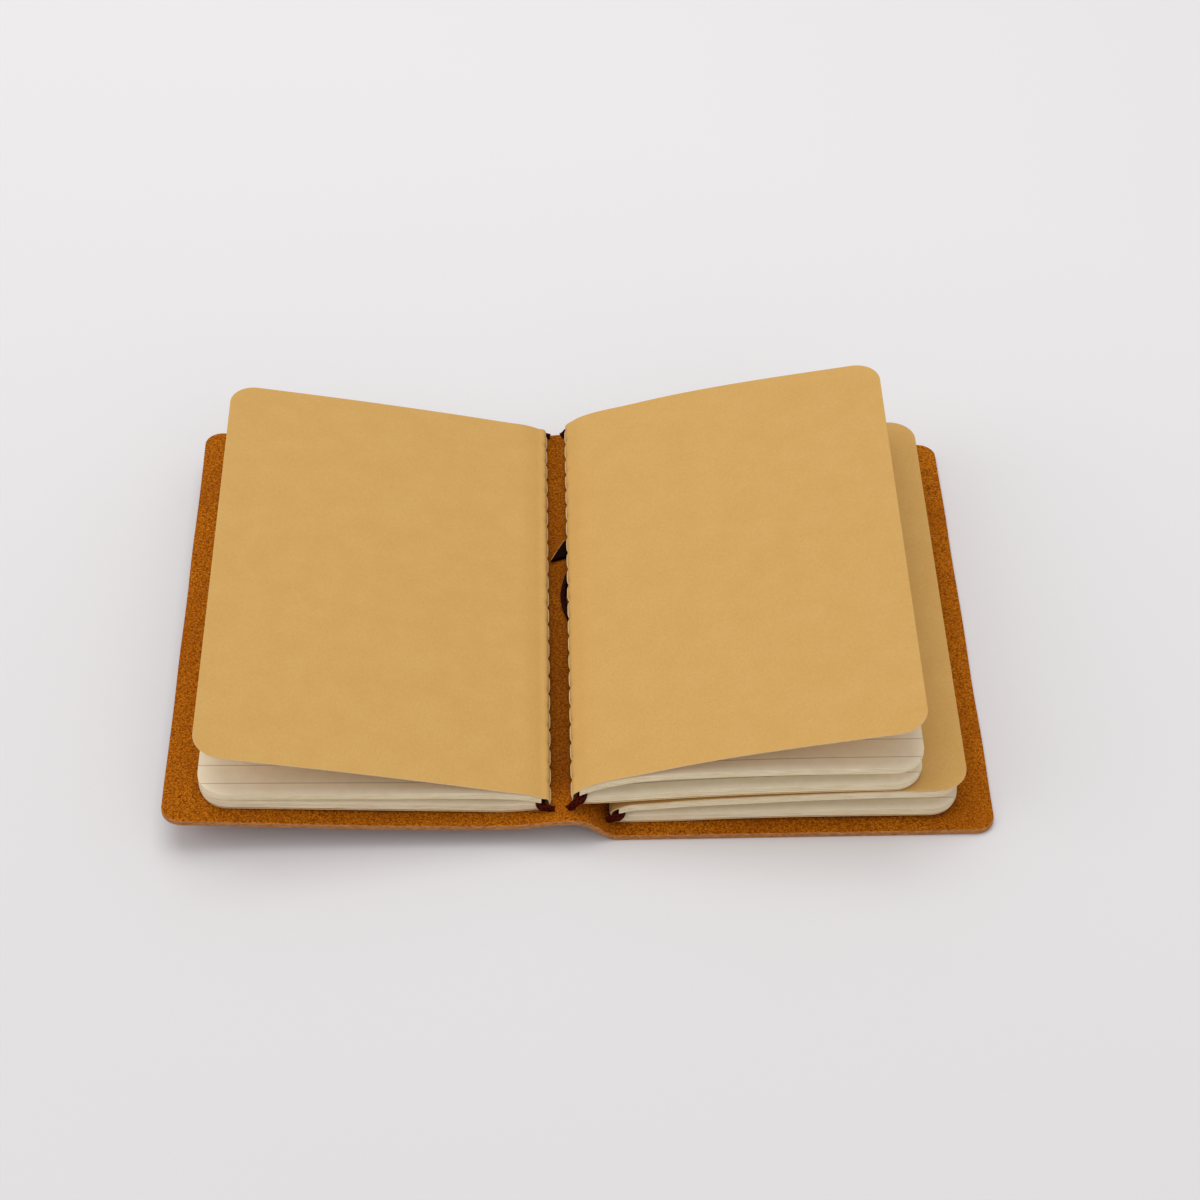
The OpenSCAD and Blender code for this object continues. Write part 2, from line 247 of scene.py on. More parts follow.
def sum_of(m, a, b, how="ADD"):
    """Arithmetic on two values, or on a value and a number."""
    return add(m, "Math", [(0, a), (1, b)], operation=how).outputs[0]


def spread(m, value, low, high, to_low=0.0, to_high=1.0):
    """A value between low and high carried to another range, and kept inside it."""
    return add(m, "MapRange", [("Value", value), ("From Min", low), ("From Max", high),
                               ("To Min", to_low), ("To Max", to_high)]).outputs["Result"]


def mixed(m, share, a, b):
    """Colour a turned into b by a share."""
    n = add(m, "Mix", data_type="RGBA")
    for key, value in ((0, share), (6, a), (7, b)):
        if isinstance(value, bpy.types.NodeSocket):
            m.node_tree.links.new(value, n.inputs[key])
        else:
            n.inputs[key].default_value = value
    return n.outputs[2]


def sine_of(m, turns):
    """The sine of a number of whole turns."""
    return add(m, "Math", [(0, sum_of(m, turns, 2 * math.pi, "MULTIPLY"))], operation="SINE").outputs[0]


def finish_with(m, colour=None, bump=None, depth=0.0001, strength=0.5, roughness=None):
    """Joins the worked-out colour, bump height and roughness to the shader."""
    shader = m.node_tree.nodes["Principled BSDF"]
    if colour is not None:
        m.node_tree.links.new(colour, shader.inputs["Base Color"])
    if roughness is not None:
        m.node_tree.links.new(roughness, shader.inputs["Roughness"])
    if bump is not None:
        b = add(m, "Bump", [("Height", bump), ("Distance", depth), ("Strength", strength)])
        m.node_tree.links.new(b.outputs["Normal"], shader.inputs["Normal"])
    return m


# %% [markdown]
# ### Leather finishes
# The booklets lie on the flesh side, a suede nap of short fibres: warm orange-brown with darker specks and
# slow cloudy patches. The cut edge is paler and fibrous, and the outside has a smooth grain of small cells.

# %% Suede, cut edge and grain
def suede():
    """Nap: fine noise picks between two browns, specks darken and lighten it, a slow cloud shifts the whole,
    and the strip between the booklets gets painted shade, strongest toward the front."""
    m = material("suede side", srgb(160, 88, 16), 0.97, Specular_IOR_Level=0.1)
    at = place_of(m)
    fine, specks = noise(m, at, 2300, 3), noise(m, at, 1450, 5, 0.75)
    cloud = noise(m, at, 55, 3)
    colour = mixed(m, spread(m, fine, 0.4, 0.62), srgb(140, 70, 0), srgb(216, 128, 18))
    colour = mixed(m, spread(m, specks, 0.53, 0.62, 0, 0.85), colour, srgb(92, 38, 0))
    colour = mixed(m, spread(m, specks, 0.45, 0.36, 0, 0.75), colour, srgb(216, 138, 32))
    colour = mixed(m, spread(m, cloud, 0.35, 0.65, 0, 0.35), colour, srgb(146, 70, 0))
    # Painted shade: the strip of suede between the booklets is darkened, most of all toward the front.
    xyz = add(m, "SeparateXYZ", [("Vector", at)])
    from_middle = sum_of(m, sum_of(m, xyz.outputs["X"], -to_frame([0, 0, 0])[0]), 0, "ABSOLUTE")
    between = spread(m, from_middle, 0.003, 0.007, 1, 0)
    past_edge = spread(m, xyz.outputs["Y"], -0.066, -0.058, 0, 0.5)
    to_front = spread(m, xyz.outputs["Y"], -0.02, 0.06, 1, 0.35)
    painted_shade = sum_of(m, sum_of(m, between, past_edge, "MULTIPLY"), to_front, "MULTIPLY")
    colour = mixed(m, painted_shade, colour, srgb(70, 26, 0))
    return finish_with(m, colour, sum_of(m, fine, specks), 0.0003, 0.85)


def cut_leather():
    """Edge: fibres drawn out along the sheet, a little paler and greyer than the face."""
    m = material("leather cut edge", srgb(170, 112, 66), 0.9, Specular_IOR_Level=0.15)
    fibres = noise(m, place_of(m, (0.35, 0.35, 1.6)), 2600, 4)
    colour = mixed(m, spread(m, fibres, 0.3, 0.7), srgb(138, 80, 36), srgb(202, 142, 88))
    return finish_with(m, colour, fibres, 0.00012, 0.5)


def grain_leather():
    """Outside: cells of a Voronoi pattern give the pebbled grain, wear lightens the raised part."""
    m = material("leather outside", srgb(150, 88, 44), 0.5)
    at = place_of(m)
    cells = add(m, "TexVoronoi", [("Vector", at), ("Scale", 1000)], feature="SMOOTH_F1").outputs["Distance"]
    cloud = noise(m, at, 40, 4)
    colour = mixed(m, spread(m, cloud, 0.3, 0.7), srgb(146, 82, 38), srgb(158, 92, 44))
    colour = mixed(m, spread(m, cells, 0.3, 0.75, 0, 0.5), colour, srgb(112, 58, 24))
    return finish_with(m, colour, cells, 0.00025, 0.8, spread(m, cloud, 0.3, 0.7, 0.42, 0.6))


SUEDE, CUT, GRAIN = suede(), cut_leather(), grain_leather()
print("leather finishes:", SUEDE.name, CUT.name, GRAIN.name)


# %% [markdown]
# ### Kraft card and ruled paper
# Kraft card is smooth and even, with very fine fibres a little darker and lighter than the card. Its cut
# edge is paler. The leaves are ivory with thin rules every 6 mm across the page; the edge of the block is
# warmer, and shows the single leaves as fine lines.

# %% Card and paper
def kraft():
    """Card: three fibre noises stretched in different directions, laid over an even brown."""
    m = material("kraft card", srgb(206, 165, 100), 0.78)
    long = noise(m, place_of(m, (1, 0.5, 1)), 2600, 3, 0.7)
    cross = noise(m, place_of(m, (0.5, 1, 1)), 2200, 3, 0.7)
    cloud = noise(m, place_of(m), 120, 3)
    colour = mixed(m, spread(m, long, 0.35, 0.65, 0, 1), srgb(206, 160, 84), srgb(213, 168, 93))
    colour = mixed(m, spread(m, cross, 0.6, 0.74, 0, 0.4), colour, srgb(184, 138, 68))
    colour = mixed(m, spread(m, cross, 0.38, 0.26, 0, 0.35), colour, srgb(228, 190, 122))
    colour = mixed(m, spread(m, cloud, 0.35, 0.65, 0, 0.18), colour, srgb(196, 150, 78))
    roughness = spread(m, cloud, 0.3, 0.7, 0.7, 0.85)
    return finish_with(m, colour, sum_of(m, long, cross), 0.00003, 0.35, roughness)


def kraft_edge():
    """Cut edge of the card: paler, with the layers of fibres along it."""
    m = material("kraft cut edge", srgb(220, 188, 140), 0.9)
    fibres = noise(m, place_of(m, (0.5, 0.5, 3)), 1800, 3)
    colour = mixed(m, spread(m, fibres, 0.3, 0.7), srgb(206, 170, 118), srgb(232, 206, 164))
    return finish_with(m, colour, fibres, 0.00005)


def paper():
    """Leaf: ivory with faint clouds. PINGPONG folds Y into its distance to the next multiple of 6 mm; where
    that is under 0.14 mm, and not close to the page's ends, the leaf has a rule."""
    m = material("ruled paper", srgb(236, 226, 204), 0.88)
    at = place_of(m)
    y = add(m, "SeparateXYZ", [("Vector", at)]).outputs["Y"]
    to_rule = sum_of(m, sum_of(m, y, 0.0049), 0.003, "PINGPONG")
    inside = sum_of(m, sum_of(m, y, 0.058, "LESS_THAN"), sum_of(m, y, -0.066, "GREATER_THAN"), "MULTIPLY")
    rule = sum_of(m, sum_of(m, to_rule, 0.00014, "LESS_THAN"), inside, "MULTIPLY")
    cloud = noise(m, at, 300, 4)
    colour = mixed(m, spread(m, cloud, 0.3, 0.7), srgb(246, 232, 202), srgb(252, 240, 214))
    colour = mixed(m, sum_of(m, rule, 0.55, "MULTIPLY"), colour, srgb(150, 138, 118))
    return finish_with(m, colour, noise(m, at, 2500, 3), 0.00002, 0.3)


def paper_edge():
    """Edge of the block: noise squeezed in height makes lines that follow the leaves."""
    m = material("leaf edges", srgb(226, 213, 186), 0.92)
    lines = noise(m, place_of(m, (0.03, 0.03, 1)), 5200, 2, 0.5)
    colour = mixed(m, spread(m, lines, 0.35, 0.65), srgb(222, 200, 158), srgb(255, 244, 218))
    return finish_with(m, colour, lines, 0.00004, 0.4)


CARD, CARD_EDGE, LEAF, LEAF_EDGE = kraft(), kraft_edge(), paper(), paper_edge()
print("card and paper:", CARD.name, LEAF.name)


# %% [markdown]
# ### Thread, elastic and the closure
# The thread is twisted and waxed, the elastic is braided, and the closure's ends are dark, with painted
# shadow in the strap's near-black. Their patterns run round and along the piece, so they read its own map:
# U goes once round, V counts millimetres along.

# %% Thread, elastic, cord and strap
def twisted_thread():
    """Slanting stripes from U and V together, as plies wound round each other."""
    m = material("waxed thread", srgb(226, 200, 146), 0.55)
    uv = add(m, "SeparateXYZ", [("Vector", place_of(m, source="UV"))])
    u, v = sum_of(m, uv.outputs["X"], 3.0, "MULTIPLY"), sum_of(m, uv.outputs["Y"], 1.1, "MULTIPLY")
    ply = sine_of(m, sum_of(m, u, v))
    colour = mixed(m, spread(m, ply, -1, 1), srgb(196, 164, 108), srgb(240, 220, 172))
    return finish_with(m, colour, ply, 0.00006, 0.6)


def braid(name, dark, light, rounds, along, roughness):
    """Braid: two sets of slanting waves, of which the higher one shows."""
    m = material(name, light, roughness, Specular_IOR_Level=0.05)
    uv = add(m, "SeparateXYZ", [("Vector", place_of(m, source="UV"))])
    u, v = sum_of(m, uv.outputs["X"], rounds, "MULTIPLY"), sum_of(m, uv.outputs["Y"], along, "MULTIPLY")
    high = sum_of(m, *[sine_of(m, sum_of(m, u, v, how)) for how in ("ADD", "SUBTRACT")], "MAXIMUM")
    colour = mixed(m, spread(m, high, -0.6, 1), dark, light)
    colour = mixed(m, spread(m, noise(m, place_of(m), 2600, 3), 0.45, 0.7, 0, 0.4), colour, dark)
    return finish_with(m, colour, high, 0.00012, 0.7)


def strap_and_painted_shadow():
    """The strap's near-black face with a faint grain: partly the strap's own dark colour, partly painted
    shadow of the raised strap.
    """
    m = material("strap and painted shadow", srgb(22, 6, 2), 0.85, Specular_IOR_Level=0.04)
    cells = noise(m, place_of(m), 1800, 4)
    colour = mixed(m, spread(m, cells, 0.3, 0.7), srgb(14, 3, 1), srgb(30, 9, 3))
    return finish_with(m, colour, cells, 0.00008, 0.5)


THREAD = twisted_thread()
ELASTIC = braid("woven elastic", srgb(30, 5, 3), srgb(84, 20, 9), 6.0, 0.55, 0.8)
CORD = braid("closure cord", srgb(14, 2, 1), srgb(46, 11, 5), 4.0, 0.5, 0.6)
STRAP = strap_and_painted_shadow()
print("sewing and closure:", THREAD.name, ELASTIC.name, CORD.name, STRAP.name)

# %% [markdown]
# ## Camera, floor and light
# The notebook is seen from its front edge, about 45 degrees down, from far enough that the lines stay
# nearly parallel. A pale seamless floor and large soft lights keep the shadows faint, as on a studio table.

# %% Camera
def put_camera(place, down, left, lens):
    """Camera at a place in metres: down and left are its angles in degrees from the horizon and from +Y."""
    data = bpy.data.cameras.new("camera")
    data.lens, data.sensor_width = lens, 36.0
    cam = bpy.data.objects.new("camera", data)
    bpy.context.collection.objects.link(cam)
    cam.location = place
    cam.rotation_euler = (math.radians(90 - down), 0.0, math.radians(left))
    bpy.context.scene.camera = cam
    return cam


camera = put_camera((-0.004472, -0.50979, 0.52824), 45.295, -1.229, 80.52)
print("camera at", tuple(round(v, 3) for v in camera.location))

# %% Floor and lights
def floor_material():
    """Matt off-white with painted shade: a little darker toward the front and the left."""
    m = material("studio floor", srgb(236, 234, 234), 0.9)
    xyz = add(m, "SeparateXYZ", [("Vector", place_of(m))])
    far = sum_of(m, xyz.outputs["Y"], sum_of(m, xyz.outputs["X"], 0.5, "MULTIPLY"))
    return finish_with(m, mixed(m, spread(m, far, -0.2, 0.25), srgb(227, 225, 227), srgb(236, 234, 236)))


floor_mesh = bpy.data.meshes.new("floor")
floor_mesh.from_pydata([(-6, -6, 0), (6, -6, 0), (6, 6, 0), (-6, 6, 0)], [], [(0, 1, 2, 3)])
floor_mesh.materials.append(floor_material())
floor = bpy.data.objects.new("floor", floor_mesh)
bpy.context.collection.objects.link(floor)


def soft_light(name, place, size, power):
    """A square area light that looks at the middle of the table."""
    data = bpy.data.lights.new(name, "AREA")
    data.size, data.energy = size, power
    light = bpy.data.objects.new(name, data)
    bpy.context.collection.objects.link(light)
    light.location = place
    x, y, z = place
    light.rotation_euler = (math.atan2(math.hypot(x, y), z), 0, math.atan2(-y, -x) - math.pi / 2)
    return light


soft_light("overhead", (-0.15, 0.45, 1.5), 1.3, 11)
soft_light("window side", (-1.3, -0.2, 1.0), 1.0, 4)
soft_light("front fill", (0.7, -1.3, 1.0), 1.2, 2.5)
world = bpy.data.worlds.new("studio")
world.use_nodes = True
world.node_tree.nodes["Background"].inputs["Color"].default_value = (1.0, 0.99, 0.98, 1)
world.node_tree.nodes["Background"].inputs["Strength"].default_value = 0.53
bpy.context.scene.world = world
bpy.context.scene.view_settings.view_transform = "Standard"
print("floor and three soft lights")

# %% [markdown]
# ## Sheets as ribbons
# Leather, card and leaves are all sheets that follow a line in X-Z and run straight in Y, with two round
# corners at their outer edge. A ribbon is a closed ring carried along the line: the ring runs over the top
# face, round the softened rim, back along the lower face and round the other rim. Doing it with arrays
# makes one sheet or a stack of twenty in the same few steps.

# %% The ribbon builder
RIM = np.array([[-0.16, 0.5], [-0.05, 0.42], [0, 0.26], [0, -0.26], [-0.05, -0.42], [-0.16, -0.5]])


def stations(line, radius, thickness):
    """Points along a line, each with its share of the thickness and how far a corner cuts in from the
    side: radius - sqrt(radius^2 - far^2). The two outermost points are thinner, for a soft rim."""
    d = np.r_[0, np.cumsum(np.linalg.norm(np.diff(line, axis=0), axis=1))]
    s, end = d, d[-1]
    share, inset = np.ones(len(s)), np.zeros(len(s))
    if radius > 0:
        arc = end - radius + radius * np.sin(np.linspace(0, math.pi / 2, 14))
        s = np.r_[d[d < end - radius - 0.3], arc[:-1], end - 0.05 * thickness, end]
        share = np.r_[np.ones(len(s) - 2), 0.84, 0.52]
        far = np.clip(s - (end - radius), 0, radius)
        inset = radius - np.sqrt(np.maximum(radius**2 - far**2, 0))
    return np.c_[np.interp(s, d, line[:, 0]), np.interp(s, d, line[:, 1])], share, inset


def grid_faces(rows, ring):
    """Four-cornered faces of a closed ring carried along rows."""
    i, j = np.meshgrid(np.arange(rows - 1), np.arange(ring), indexing="ij")
    k = (j + 1) % ring
    near, far = i * ring, (i + 1) * ring
    return np.stack([near + j, near + k, far + k, far + j], axis=2).reshape(-1, 4)


def ribbon(line, thickness, y0, y1, radius=0.0, columns=24, bend=None, first=None):
    """A ring of points at every station: y runs across, the offset from the line is along its normal. bend
    may move the points; first fixes the normal where two ribbons meet. Returns vertices, faces and a part
    number for each face: 0 on the left-hand side of the line, 1 on the other side, 2 on the rims."""
    path, share, inset = stations(line, radius, thickness)
    low, high = y0 + inset[:, None], y1 - inset[:, None]
    rim_y, rim_w = RIM[1:-1, 0] * thickness, RIM[1:-1, 1]
    margin = -RIM[0, 0] * thickness
    across = 0.5 - 0.5 * np.cos(np.linspace(0, math.pi, columns))
    face_y = low + margin + across * (high - low - 2 * margin)
    y = np.hstack([face_y, high + rim_y, face_y[:, ::-1], low - rim_y[::-1]])
    w = np.r_[np.full(columns, 0.5), rim_w, np.full(columns, -0.5), rim_w[::-1]]
    offset = w[None] * (share * thickness)[:, None]
    normal = normals(path)
    normal[0] = normal[0] if first is None else first
    verts = np.stack([path[:, :1] + normal[:, :1] * offset, y, path[:, 1:] + normal[:, 1:] * offset], axis=2)
    if bend is not None:
        verts = bend(verts)
    rows, ring = verts.shape[:2]
    part = np.full(ring, 2)
    part[:columns - 1], part[columns + 4:2 * columns + 3] = 0, 1
    a = np.arange(columns + 2)
    opposite = (2 * columns + 5 - a) % ring                    # the points on the other side of the sheet
    cap = np.stack([a[:-1], opposite[:-1], opposite[1:], a[1:]], axis=1)
    cap = cap[[len(set(q)) == 4 for q in cap.tolist()]]
    faces = np.vstack([grid_faces(rows, ring), cap, cap[:, ::-1] + (rows - 1) * ring])
    return verts.reshape(-1, 3), faces, np.r_[np.tile(part, rows - 1), np.full(2 * len(cap), 2)]


def make_piece(name, shapes, materials):
    """Joins ribbons or tubes into one object at the origin, turns all faces outwards by the sign of the
    volume, and gives each face its material by part number."""
    starts = np.cumsum([0] + [len(shape[0]) for shape in shapes])
    v = to_frame(np.vstack([shape[0] for shape in shapes]))
    f = np.vstack([shape[1] + start for shape, start in zip(shapes, starts)])
    part = np.concatenate([shape[2] for shape in shapes])
    a, b, c, d = (v[f[:, k]] - v.mean(axis=0) for k in range(4))
    volume = np.einsum("ij,ij->i", a, np.cross(b, c)).sum() + np.einsum("ij,ij->i", a, np.cross(c, d)).sum()
    if volume < 0:
        f = f[:, ::-1]
    mesh = bpy.data.meshes.new(name)
    mesh.from_pydata(v.tolist(), [], f.tolist())
    for m in materials:
        mesh.materials.append(m)
    mesh.polygons.foreach_set("material_index", np.minimum(part, len(materials) - 1).astype(np.int32))
    mesh.polygons.foreach_set("use_smooth", np.full(len(f), True))
    mesh.set_sharp_from_angle(angle=math.radians(50))
    mesh.update()
    piece = bpy.data.objects.new(name, mesh)
    bpy.context.collection.objects.link(piece)
    print(f"{name}: {len(f)} faces")
    return piece


def at(x, z):
    """A point of the X-Z drawing as a point of the frame, half way along the booklets."""
    return tuple(to_frame([[x, Y0 + LENGTH / 2, z]])[0])


# %% [markdown]
# ## The leather cover
# One sheet of leather: two wings with a hump between them, where the spine stands over the table. It
# bends at two folds when the notebook closes, so it is made as two ribbons that meet on the spine.
# Its face waves a little, as a hand-cut hide does.

# %% Leather
def hide_waves(v):
    """Adds slow waves of a tenth of a millimetre, which fade under the booklets."""
    x, y, z = v[..., 0], v[..., 1], v[..., 2]
    free = np.clip((np.abs(x) - 94) / 8, 0, 1)
    z = z + 0.10 * free * (np.sin(y / 11) + 0.6 * np.sin(y / 4.7 + 1)) + 0.10 * free
    return np.stack([x + 0.08 * np.sin(y / 7 + x / 31) * free, y, z], axis=2)


HIDE_CORNER, HIDE_COLUMNS = 5.0, 60
SEAM_X = -4.0                                               # the two ribbons meet on the flat of the spine


def cover_half(name, line, order, up):
    """One ribbon of leather from the seam outwards; order says which side of the line shows the suede."""
    v, f, part = ribbon(line, LEATHER, 0, COVER_LENGTH, HIDE_CORNER, HIDE_COLUMNS, hide_waves, up)
    piece = make_piece(name, [(v, f, np.array(order)[part])], [SUEDE, GRAIN, CUT])
    return piece


middle = smooth(shifted(under, LEATHER / 2), 0.9)
seam = np.array([[SEAM_X, height(middle, SEAM_X)]])
left_half = np.vstack([seam, middle[middle[:, 0] < SEAM_X - 0.2][::-1]])
right_half = np.vstack([seam, middle[middle[:, 0] > SEAM_X + 0.2]])
up = normals(np.vstack([left_half[1:2], seam, right_half[1:2]]))[1]
leather_left = cover_half("leather_left", left_half, [1, 0, 2], -up)
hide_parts("leather_front_wing")
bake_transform(leather_left)
leather_right = cover_half("leather_right", right_half, [0, 1, 2], up)
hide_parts("leather_back_wing", "leather_spine")
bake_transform(leather_right)

# %% [markdown]
# ## Kraft covers
# Each booklet's cover is one card folded round the leaves and sewn through the fold. The back half lies
# under the leaves; the front half bends over them, has a crease, and springs up. The needle holes pull the
# fold in, so its edge is scalloped. The card is made as two ribbons that meet at the middle of the fold.

# %% Card round the leaves
STITCHES = 22
PITCH = LENGTH / STITCHES
HOLE_PULL, HOLE_WIDTH = 0.34, 0.55
CARD_COLUMNS = 6 * STITCHES + 1                             # six to each stitch, to bring out the notches


def notches(fold, mid):
    """Pulls the card in towards the leaves at each needle hole: a narrow bell along Y that fades with the
    distance from the stitch line."""
    def bend(v):
        x, y, z = v[..., 0], v[..., 1], v[..., 2]
        along = np.abs((y - Y0) / PITCH - np.round((y - Y0) / PITCH)) * PITCH
        bell = np.exp(-(along / HOLE_WIDTH) ** 2) * np.exp(-(np.maximum(x - fold, 0) / 0.9) ** 2)
        bell = bell * (np.abs(y - (Y0 + Y1) / 2) < LENGTH / 2 - 1)
        near = np.exp(-(np.abs(z - mid) / 2.6) ** 4)
        return np.stack([x + HOLE_PULL * bell * near, y, z + 0.25 * bell * near * np.sign(mid - z)], axis=2)
    return bend


def wrap_top(cover, fold, mid, reach):
    """The line of the front half: straight up at the fold from its middle, round, then along the cover."""
    c = cover[(cover[:, 0] > fold + 0.9) & (cover[:, 0] < reach)]
    start = cover[0, 1] + 0.15
    bend = [[fold - 0.15, mid], [fold - 0.17, (mid + start) / 2], [fold - 0.02, start - 0.15],
            [fold + 0.45, start + 0.35]]
    tail = [[reach, height(cover, reach) + KRAFT / 2]]
    return smooth(np.vstack([bend, c + [0, KRAFT / 2], tail]), 0.7)


def wrap_under(line, fold, mid):
    """The line of the back half, from the middle of the fold down, round and along the lower face."""
    c = line[(line[:, 0] > fold + 1.5) & (line[:, 0] < fold + WIDTH - 6)]
    tip = [[fold + WIDTH - 1.6, height(line, fold + WIDTH - 1.6)]]
    low = line[0, 1] + KRAFT / 2
    bend = [[fold - 0.15, mid], [fold - 0.17, (mid + low) / 2 + 0.15], [fold - 0.02, low + 0.25],
            [fold + 0.55, low]]
    return smooth(np.vstack([bend, np.vstack([c, tip]) + [0, KRAFT / 2]]), 0.8)


def card(name, line, side, bend):
    """A ribbon of card, mirrored where side is -1."""
    v, f, part = ribbon(line, KRAFT, Y0, Y1, CORNER, CARD_COLUMNS, bend)
    piece = make_piece(name, [(v * [side, 1, 1], f, part // 2)], [CARD, CARD_EDGE])
    return piece


# %% Covers of the three booklets
def covers_of(name, fold, side, lines, reach, base, loose):
    """The back card rides on the booklet; the front one stays where it is built when loose is given, and
    rides on the booklet otherwise.
    """
    under_line, upper_line, cover = lines
    mid = upper_line[0, 1] + 0.05
    bend = notches(fold, mid)
    back = card(f"{name}_back_card", wrap_under(under_line, fold, mid), side, bend)
    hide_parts(f"{name}_back_cover")
    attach(back, base)
    front = card(f"{name}_front_card", wrap_top(cover, fold, mid, reach), side, bend)
    if loose:
        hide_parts(f"{name}_cover_shoulder", f"{name}_cover_crease", f"{name}_front_cover")
        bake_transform(front)
    else:
        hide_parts(f"{name}_cover_shoulder", f"{name}_front_cover")
        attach(front, base)


covers_of("left", LEFT, -1, (left_under, left_upper, left_cover), LEFT + EDGE,
          "left_booklet", "left_cover")
covers_of("upper", UPPER, 1, (upper_under, upper_upper, upper_cover), UPPER + EDGE,
          "upper_booklet", "upper_cover")
covers_of("lower", LOWER, 1, (lower_under, lower_upper, lower_cover), LOWER + WIDTH + 0.4,
          "back_wing", None)

# %% [markdown]
# ## Leaves
# Half of a booklet's leaves lie below its centre spread and half above. Each leaf is its own thin ribbon,
# so the edges show real lines and small steps. Near the fold the leaves are pressed together, and the
# lower half is pressed down where the elastic lies on it.

# %% Blocks of single leaves
SHEETS = 14
SHEET = 0.62 * HALF / SHEETS                                # thinner than its share, so that gaps show
chance = np.random.default_rng(11)


def leaf_stack(name, line, fold, side, pressed):
    """Leaf k of n lies at the line's height plus (k + 1/2) / n of the block's thickness. Its ends move at
    random by up to 0.12 mm."""
    path = smooth(line, 1.6)
    from_fold = path[:, 0] - fold
    block = thick(from_fold)
    if pressed:
        block = block * (1 - 0.3 * np.exp(-((from_fold - 2.4) / 1.5) ** 2))
    keep = (path[:, 0] >= line[0, 0] + TOUCH) & (from_fold <= WIDTH - 0.4)
    path, block = path[keep], block[keep]
    leaves = []
    for k, (past, near, far) in enumerate(chance.uniform(-0.12, 0.12, (SHEETS, 3))):
        leaf = np.c_[path[:, 0], path[:, 1] + block * (k + 0.5) / SHEETS]
        leaf = np.vstack([leaf, leaf[-1:] + (leaf[-1:] - leaf[-2:-1]) * 0.15 * (1 + 4 * past)])
        v, f, part = ribbon(leaf, SHEET, Y0 + 0.12 + near, Y1 - 0.12 + far, CORNER, 14)
        leaves.append((v * [side, 1, 1], f, part // 2))
    piece = make_piece(name, leaves, [LEAF, LEAF_EDGE])
    return piece


for name, fold, side, low, high, body in (("left", LEFT, -1, left_lower, left_upper, "left_booklet"),
                                          ("upper", UPPER, 1, upper_lower, upper_upper, "upper_booklet"),
                                          ("lower", LOWER, 1, lower_lower, lower_upper, "back_wing")):
    for half, line in (("lower", low), ("upper", high)):
        stack = leaf_stack(f"{name}_{half}_half", line, fold, side, half == "lower")
        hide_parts(f"{name}_{half}_leaves")
        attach(stack, body)

# %% [markdown]
# ## Sewing
# A thread runs along the outside of each fold, down into a needle hole at every notch and out again. Each
# visible stitch is a short tube that dives at both ends, with the plies' twist in its finish.

# %% Tubes and stitches
def tube(route, width, depth, sides):
    """An oval carried along a route: its wide axis stays close to X and its narrow one is across both.
    Returns vertices, faces, part numbers and the map (U once round, V along in millimetres)."""
    r = np.asarray(route, float)
    t = np.gradient(r, axis=0)
    t = t / np.linalg.norm(t, axis=1)[:, None]
    n = np.cross(t, [1.0, 0, 0])
    n = n / np.linalg.norm(n, axis=1)[:, None]
    b = np.cross(n, t)
    a = np.linspace(0, 2 * math.pi, sides, endpoint=False)
    v = (r[:, None] + width / 2 * np.cos(a)[None, :, None] * b[:, None]
         + depth / 2 * np.sin(a)[None, :, None] * n[:, None])
    sides_faces = grid_faces(len(r), sides)
    h = np.arange(sides // 2 - 1)
    cap = np.stack([h, h + 1, sides - 2 - h, sides - 1 - h], axis=1)
    far = np.r_[0, np.cumsum(np.linalg.norm(np.diff(r, axis=0), axis=1))]
    i, j = np.meshgrid(np.arange(len(r) - 1), np.arange(sides), indexing="ij")
    corners = ((j, i), (j + 1, i), (j + 1, i + 1), (j, i + 1))
    uv = np.stack([np.stack([across / sides, far[along]], 2) for across, along in corners], axis=2)
    return (v.reshape(-1, 3), np.vstack([sides_faces, cap[:, ::-1], cap + (len(r) - 1) * sides]),
            np.zeros(len(sides_faces) + 2 * len(cap), int),
            np.vstack([uv.reshape(-1, 4, 2), np.zeros((2 * len(cap), 4, 2))]))


def make_tubes(name, tubes, finish):
    """One object from several tubes, with their maps. The map's corners are turned round with the faces if
    make_piece had to turn those outwards."""
    piece = make_piece(name, [t[:3] for t in tubes], [finish])
    uv = np.vstack([t[3] for t in tubes])
    kept = list(piece.data.polygons[0].vertices) == list(tubes[0][1][0])
    layer = piece.data.uv_layers.new(name="along")
    layer.data.foreach_set("uv", (uv if kept else uv[:, ::-1]).reshape(-1).astype(np.float32))
    return piece


THREAD_WIDTH = 0.42


def stitch_row(booklet, fold, side, z, body):
    """Every stitch spans from one hole to the next: its distance from the card is a flat-topped arch."""
    s = np.linspace(0, 1, 15)
    arch = 0.38 * (1 - np.abs(2 * s - 1) ** 4)
    x = side * (fold - 0.02 - arch)
    row = [tube(np.c_[x, Y0 + PITCH * (k + 0.04 + 0.92 * s), z + 0.05 * np.sin(9 * k) * arch],
                THREAD_WIDTH, THREAD_WIDTH, 10) for k in range(STITCHES)]
    piece = make_tubes(f"{booklet}_stitches", row, THREAD)
    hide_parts(f"{booklet}_thread")
    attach(piece, body)


stitch_row("left", LEFT, -1, left_upper[0, 1] - 0.25, "left_booklet")
stitch_row("upper", UPPER, 1, upper_upper[0, 1] - 0.25, "upper_booklet")
stitch_row("lower", LOWER, 1, lower_upper[0, 1] - 0.25, "back_wing")

# %% [markdown]
# ## Elastics
# A woven elastic lies in each booklet's centre spread, comes out at its two ends, turns down round the
# lower leaves and goes into the leather. It is a flat oval tube on a smooth route through a few points.

# %% Elastics
BAND_WIDTH, BAND_DEPTH, BAND_REACH = 2.4, 0.75, 3.8


